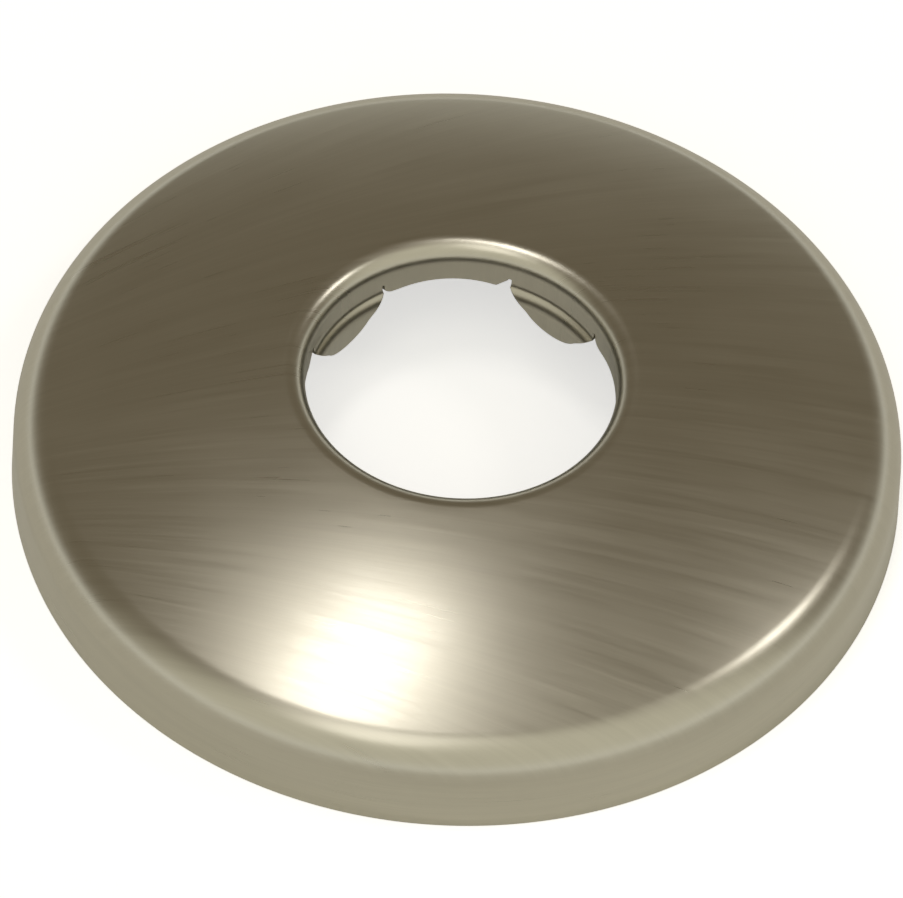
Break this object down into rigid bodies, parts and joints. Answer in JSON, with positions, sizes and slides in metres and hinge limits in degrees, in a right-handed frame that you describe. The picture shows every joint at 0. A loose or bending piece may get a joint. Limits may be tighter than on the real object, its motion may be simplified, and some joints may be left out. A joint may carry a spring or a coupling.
{
  "type": "shower arm flange",
  "caption": "Round domed sheet metal flange that slides along a shower arm, grips it with sprung petals in its collar and hides the hole in the wall.",
  "frame": {"origin": "centre of the circle on which the skirt's edge meets the wall", "axes": "+Z along the pipe axis, away from the wall; +Y away from the viewer in the picture; the petals stand at 45 degrees to X and Y"},
  "size_m": [0.0636, 0.0636, 0.0109],
  "materials": {
    "brushed_nickel": "brushed nickel plate, warm grey, with fine straight streaks"
  },
  "bodies": {
    "root": {"flange": "brushed_nickel"}
  },
  "joints": []
}
